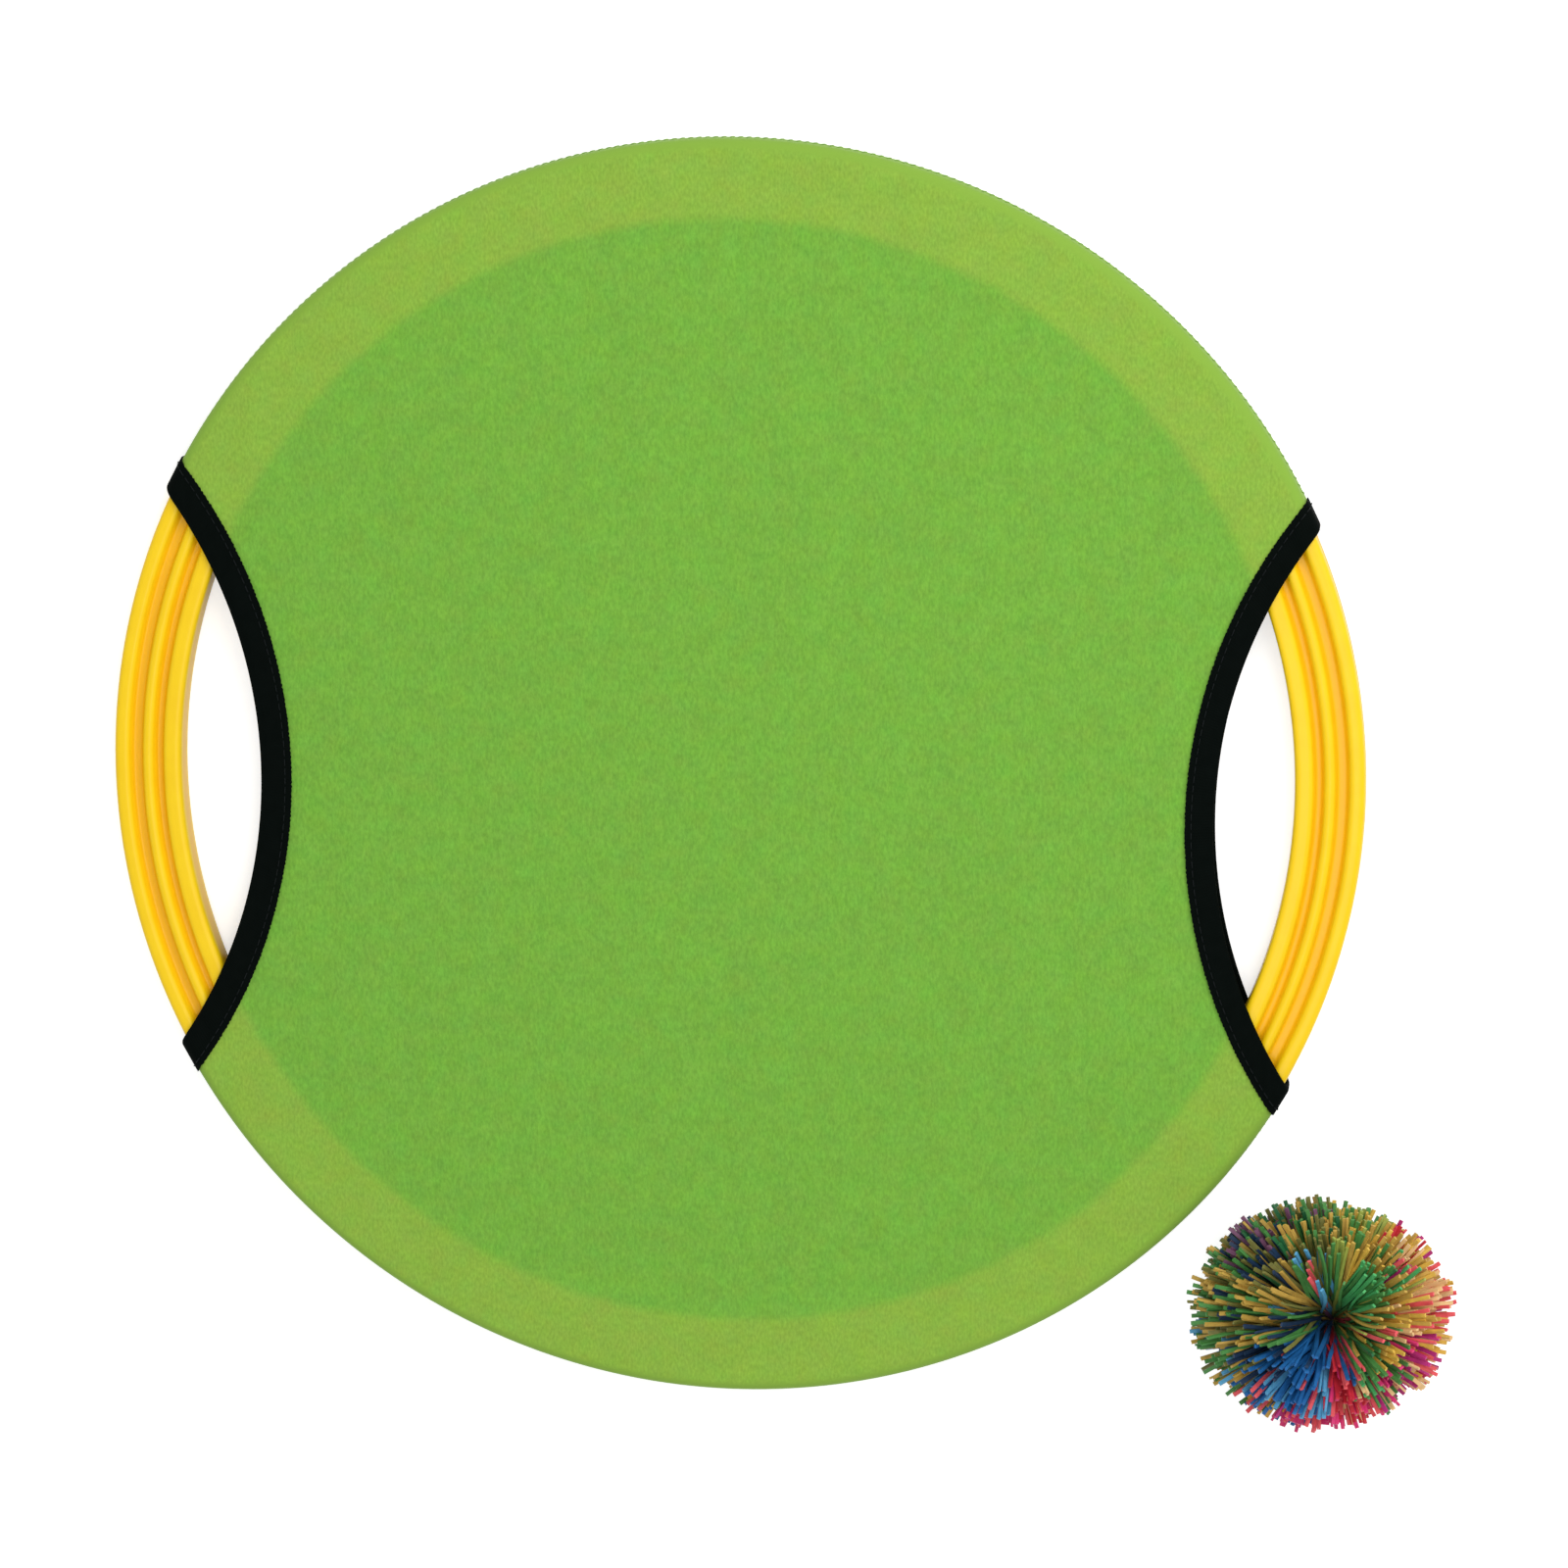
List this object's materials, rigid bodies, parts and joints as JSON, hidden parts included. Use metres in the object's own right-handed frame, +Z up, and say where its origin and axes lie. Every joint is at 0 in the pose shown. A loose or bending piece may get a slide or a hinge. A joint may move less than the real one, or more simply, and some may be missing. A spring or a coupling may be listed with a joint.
{
  "type": "trampoline paddle ball set",
  "caption": "Round catching paddle with a stretch-knit cover over a ribbed plastic hoop, bare hoop hand holds at both sides, and a rubber string ball",
  "frame": {"origin": "on the floor, under the centre of the paddle as it lies on its back face", "axes": "+X towards the right hand hold, +Y towards the top of the rim, +Z up through the thickness of the paddle"},
  "size_m": [0.4279, 0.4032, 0.0737],
  "materials": {
    "hoop_plastic": "moulded, satin gloss",
    "knit": "fine stretch knit",
    "tape": "matt woven tape",
    "tie": "matt",
    "rubber_peach": "matt",
    "rubber_apricot": "matt",
    "rubber_mustard": "matt",
    "rubber_leaf_green": "matt",
    "rubber_plum": "matt",
    "rubber_ochre": "matt",
    "rubber_navy": "matt",
    "rubber_lime": "matt",
    "rubber_blue": "matt",
    "rubber_scarlet": "matt",
    "rubber_rose": "matt",
    "rubber_dark_green": "matt"
  },
  "bodies": {
    "root": {"hoop": "hoop_plastic", "front_panel": "knit", "back_panel": "knit", "left_binding": "tape", "right_binding": "tape", "ball_tie": "tie", "strands_01_peach": "rubber_peach", "strands_02_apricot": "rubber_apricot", "strands_03_mustard": "rubber_mustard", "strands_04_leaf_green": "rubber_leaf_green", "strands_05_plum": "rubber_plum", "strands_06_ochre": "rubber_ochre", "strands_07_navy": "rubber_navy", "strands_08_lime": "rubber_lime", "strands_09_blue": "rubber_blue", "strands_10_scarlet": "rubber_scarlet", "strands_11_rose": "rubber_rose", "strands_12_dark_green": "rubber_dark_green"}
  },
  "joints": []
}
